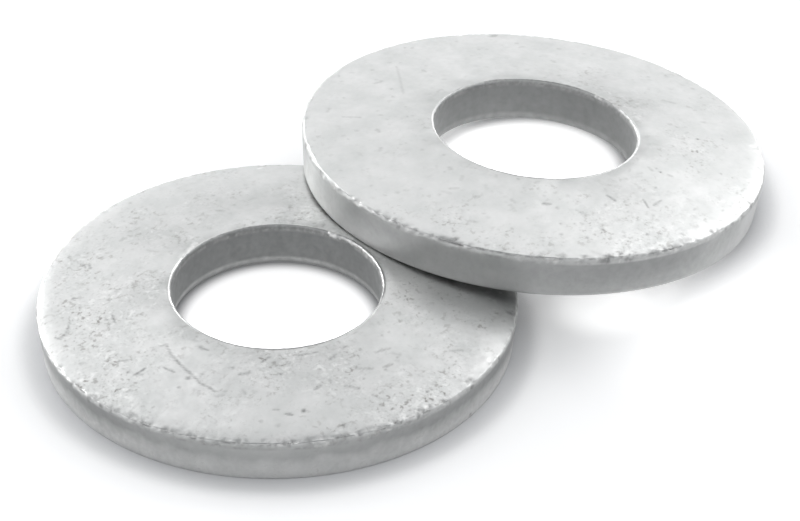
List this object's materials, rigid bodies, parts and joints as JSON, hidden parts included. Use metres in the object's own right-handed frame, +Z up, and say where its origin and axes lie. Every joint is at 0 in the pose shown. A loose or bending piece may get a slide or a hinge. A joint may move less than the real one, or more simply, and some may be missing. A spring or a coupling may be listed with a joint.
{
  "type": "pair of conical spring washers",
  "caption": "Thick steel ring washers pressed to a shallow cone, with plain bores, one flat on its rim and its mate leaning on it.",
  "frame": {"origin": "on the surface that both washers stand on, at the middle of the pair", "axes": "+Z up; +X from the axis of the lower washer to that of the leaning one; +Y to the side"},
  "size_m": [0.0672, 0.039, 0.0088],
  "materials": {
    "zinc_coating": "dull light grey zinc coating over steel, with small pits, dark scuffs and bright worn edges"
  },
  "bodies": {
    "root": {"lower_washer": "zinc_coating", "upper_washer": "zinc_coating"}
  },
  "joints": []
}
